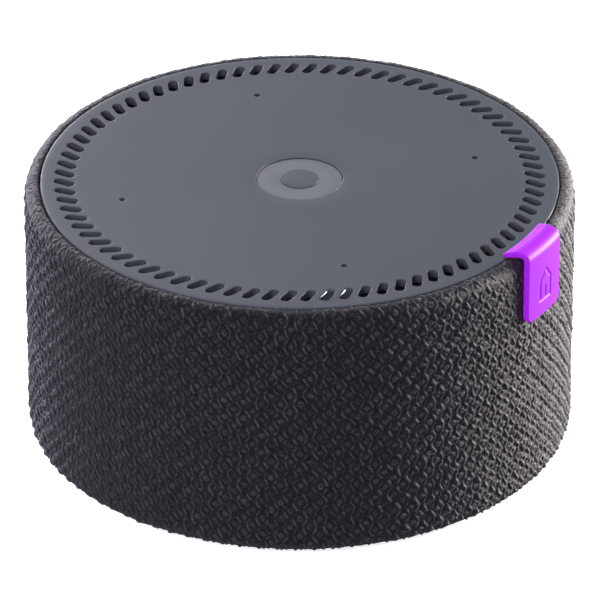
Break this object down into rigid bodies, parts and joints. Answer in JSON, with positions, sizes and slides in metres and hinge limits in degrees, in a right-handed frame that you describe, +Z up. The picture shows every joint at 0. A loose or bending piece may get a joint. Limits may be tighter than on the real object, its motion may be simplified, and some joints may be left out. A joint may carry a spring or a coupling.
{
  "type": "smart home hub",
  "caption": "Puck-shaped voice hub with a knitted sleeve, slotted top plate, press key, rear ports and a silicone side tag, around a small loudspeaker and its boards.",
  "frame": {"origin": "centre of the resting plane under the hub's axis", "axes": "+Z up along the hub's axis; +Y towards the ports at the rear, so the sensor windows are at the front, -Y; the side tag is between +X and -Y"},
  "size_m": [0.09, 0.09, 0.0459],
  "materials": {
    "plate_grey": "fine moulded texture, satin",
    "key_grey": "satin, faintly translucent",
    "window_gloss": "smoked, polished",
    "knit_charcoal": "charcoal melange knit",
    "tag_purple": "matt silicone",
    "black_plastic": "fine spark-eroded texture",
    "foot_rubber": "matt",
    "seal_foam": "closed-cell foam",
    "mesh_black": "woven acoustic mesh",
    "board_green": "solder mask",
    "chip_black": "moulded package",
    "white_plastic": "satin",
    "slider_grey": "satin",
    "bright_steel": "nickel plated",
    "dark_steel": "powder coated",
    "magnet_dark": "sintered ferrite",
    "coil_copper": "enamelled wire on a former",
    "cone_paper": "coated paper",
    "spider_cloth": "resin-dipped cloth",
    "roll_rubber": "satin",
    "lead_plastic": "soft jacket"
  },
  "bodies": {
    "base": {"top_plate": "plate_grey", "acoustic_mesh": "mesh_black", "key_switch": "chip_black", "light_cup": "white_plastic", "led_1": "white_plastic", "led_2": "white_plastic", "led_3": "white_plastic", "led_4": "white_plastic", "sensor_window_1": "window_gloss", "sensor_window_2": "window_gloss", "range_sensor": "chip_black", "mic_board": "board_green", "mic_1": "bright_steel", "mic_2": "bright_steel", "mic_3": "bright_steel", "mic_4": "bright_steel", "mic_gasket_1": "seal_foam", "mic_gasket_2": "seal_foam", "mic_gasket_3": "seal_foam", "mic_gasket_4": "seal_foam", "board_screws": "bright_steel", "side_tag": "tag_purple", "knit_sleeve": "knit_charcoal", "outer_shell": "black_plastic", "bottom_cover": "black_plastic", "foot_ring": "foot_rubber", "base_screws": "bright_steel", "port_panel": "black_plastic", "usb_socket": "bright_steel", "usb_tongue": "chip_black", "audio_jack": "chip_black", "mute_switch": "bright_steel", "main_board": "board_green", "processor": "chip_black", "memory_chip": "chip_black", "shield_can": "bright_steel", "power_inductor": "magnet_dark", "board_sockets": "white_plastic", "speaker_box": "black_plastic", "box_seal": "seal_foam", "driver_baffle": "black_plastic", "box_screws": "bright_steel", "driver_gasket": "seal_foam", "driver_frame": "dark_steel", "driver_screws": "bright_steel", "front_washer": "bright_steel", "magnet": "magnet_dark", "pole_plate": "bright_steel", "spider": "spider_cloth", "surround": "roll_rubber", "flat_cable": "white_plastic", "speaker_leads": "lead_plastic"},
    "key": {"action_key": "key_grey", "key_island": "plate_grey", "key_plunger": "bright_steel"},
    "slider": {"mute_slider": "slider_grey", "mute_lever": "white_plastic"},
    "cone_unit": {"cone": "cone_paper", "voice_coil": "coil_copper", "dust_cap": "cone_paper"}
  },
  "joints": [
    {"name": "key_press", "type": "slide", "parent": "base", "child": "key", "axis": [0, 0, -1], "range_m": [0, 0.0004], "stiffness_N_per_m": 3000, "springref_m": -0.0003},
    {"name": "mute_slide", "type": "slide", "parent": "base", "child": "slider", "axis": [0.9711, -0.2385, 0], "range_m": [0, 0.002]},
    {"name": "cone_travel", "type": "slide", "parent": "base", "child": "cone_unit", "axis": [0, 0, 1], "range_m": [-0.001, 0.001], "stiffness_N_per_m": 1200, "deforming": ["surround", "spider"]}
  ]
}
